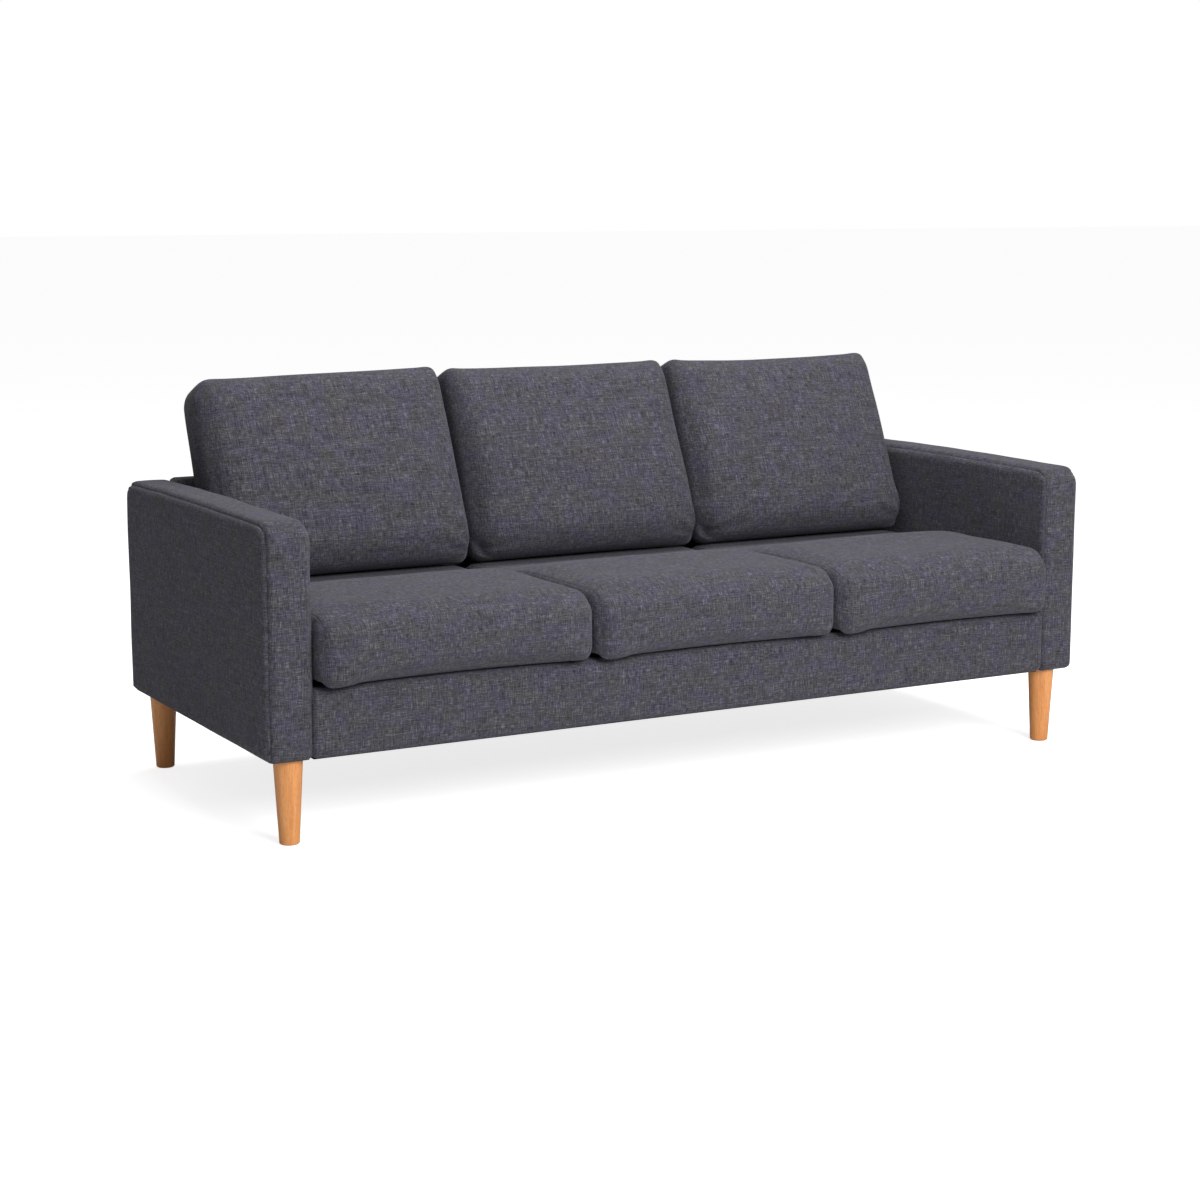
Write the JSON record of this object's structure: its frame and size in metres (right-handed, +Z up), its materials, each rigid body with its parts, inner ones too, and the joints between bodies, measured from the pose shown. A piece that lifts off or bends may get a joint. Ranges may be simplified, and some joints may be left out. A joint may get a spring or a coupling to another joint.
{
  "type": "three-seat sofa",
  "caption": "Upholstered sofa with boxed arms, loose seat and back cushions in charcoal woven cloth, and tapered round beech legs.",
  "frame": {"origin": "on the floor under the middle of the sofa's overall box", "axes": "+X along the seats to the right as seen from the front, +Y to the back, +Z up"},
  "size_m": [1.88, 0.813, 0.8156],
  "materials": {
    "upholstery_cloth": "matte",
    "foam": "matte",
    "frame_timber": "matte",
    "leg_beech": "satin",
    "deck_cloth": "matte",
    "dust_cloth": "matte",
    "webbing": "matte",
    "spring_steel": "satin",
    "zinc_steel": "satin",
    "zip_tape": "matte",
    "zip_metal": "satin"
  },
  "bodies": {
    "frame": {"left_arm_cover": "upholstery_cloth", "left_arm_padding": "foam", "left_arm_front_post": "frame_timber", "left_arm_rear_post": "frame_timber", "left_arm_top_rail": "frame_timber", "left_arm_base_rail": "frame_timber", "right_arm_cover": "upholstery_cloth", "right_arm_padding": "foam", "right_arm_front_post": "frame_timber", "right_arm_rear_post": "frame_timber", "right_arm_top_rail": "frame_timber", "right_arm_base_rail": "frame_timber", "seat_front_rail": "frame_timber", "seat_rear_rail": "frame_timber", "seat_centre_rail": "frame_timber", "front_rail_padding": "foam", "front_rail_cover": "upholstery_cloth", "seat_deck_cloth": "deck_cloth", "seat_springs": "spring_steel", "spring_clips": "zinc_steel", "dust_cover": "dust_cloth", "back_cover": "upholstery_cloth", "back_padding": "foam", "back_post_left": "frame_timber", "back_post_right": "frame_timber", "back_top_rail": "frame_timber", "back_lower_rail": "frame_timber", "back_webbing": "webbing", "corner_brackets": "zinc_steel", "side_bolts": "zinc_steel", "leg_front_left": "leg_beech", "leg_front_right": "leg_beech", "leg_rear_left": "leg_beech", "leg_rear_right": "leg_beech", "leg_bolts": "zinc_steel", "leg_threaded_inserts": "zinc_steel"},
    "left_seat_cushion": {"left_seat_cushion_cover": "upholstery_cloth", "left_seat_cushion_core": "foam", "left_seat_zip": "zip_tape"},
    "left_seat_zip_slider": {"left_seat_zip_slider": "zip_metal"},
    "left_back_cushion": {"left_back_cushion_cover": "upholstery_cloth", "left_back_cushion_core": "foam", "left_back_zip": "zip_tape"},
    "left_back_zip_slider": {"left_back_zip_slider": "zip_metal"},
    "centre_seat_cushion": {"centre_seat_cushion_cover": "upholstery_cloth", "centre_seat_cushion_core": "foam", "centre_seat_zip": "zip_tape"},
    "centre_seat_zip_slider": {"centre_seat_zip_slider": "zip_metal"},
    "centre_back_cushion": {"centre_back_cushion_cover": "upholstery_cloth", "centre_back_cushion_core": "foam", "centre_back_zip": "zip_tape"},
    "centre_back_zip_slider": {"centre_back_zip_slider": "zip_metal"},
    "right_seat_cushion": {"right_seat_cushion_cover": "upholstery_cloth", "right_seat_cushion_core": "foam", "right_seat_zip": "zip_tape"},
    "right_seat_zip_slider": {"right_seat_zip_slider": "zip_metal"},
    "right_back_cushion": {"right_back_cushion_cover": "upholstery_cloth", "right_back_cushion_core": "foam", "right_back_zip": "zip_tape"},
    "right_back_zip_slider": {"right_back_zip_slider": "zip_metal"}
  },
  "joints": [
    {"name": "left_seat_cushion_pull", "type": "slide", "parent": "frame", "child": "left_seat_cushion", "axis": [0, -1, 0], "range_m": [0, 0.66]},
    {"name": "left_seat_zip_run", "type": "slide", "parent": "left_seat_cushion", "child": "left_seat_zip_slider", "axis": [1, 0, 0], "range_m": [0, 0.419]},
    {"name": "left_back_cushion_lift", "type": "slide", "parent": "frame", "child": "left_back_cushion", "axis": [0, 0, 1], "range_m": [0, 0.3]},
    {"name": "left_back_zip_run", "type": "slide", "parent": "left_back_cushion", "child": "left_back_zip_slider", "axis": [1, 0, 0], "range_m": [0, 0.419]},
    {"name": "centre_seat_cushion_pull", "type": "slide", "parent": "frame", "child": "centre_seat_cushion", "axis": [0, -1, 0], "range_m": [0, 0.66]},
    {"name": "centre_seat_zip_run", "type": "slide", "parent": "centre_seat_cushion", "child": "centre_seat_zip_slider", "axis": [1, 0, 0], "range_m": [0, 0.419]},
    {"name": "centre_back_cushion_lift", "type": "slide", "parent": "frame", "child": "centre_back_cushion", "axis": [0, 0, 1], "range_m": [0, 0.3]},
    {"name": "centre_back_zip_run", "type": "slide", "parent": "centre_back_cushion", "child": "centre_back_zip_slider", "axis": [1, 0, 0], "range_m": [0, 0.419]},
    {"name": "right_seat_cushion_pull", "type": "slide", "parent": "frame", "child": "right_seat_cushion", "axis": [0, -1, 0], "range_m": [0, 0.66]},
    {"name": "right_seat_zip_run", "type": "slide", "parent": "right_seat_cushion", "child": "right_seat_zip_slider", "axis": [1, 0, 0], "range_m": [0, 0.419]},
    {"name": "right_back_cushion_lift", "type": "slide", "parent": "frame", "child": "right_back_cushion", "axis": [0, 0, 1], "range_m": [0, 0.3]},
    {"name": "right_back_zip_run", "type": "slide", "parent": "right_back_cushion", "child": "right_back_zip_slider", "axis": [1, 0, 0], "range_m": [0, 0.419]}
  ]
}
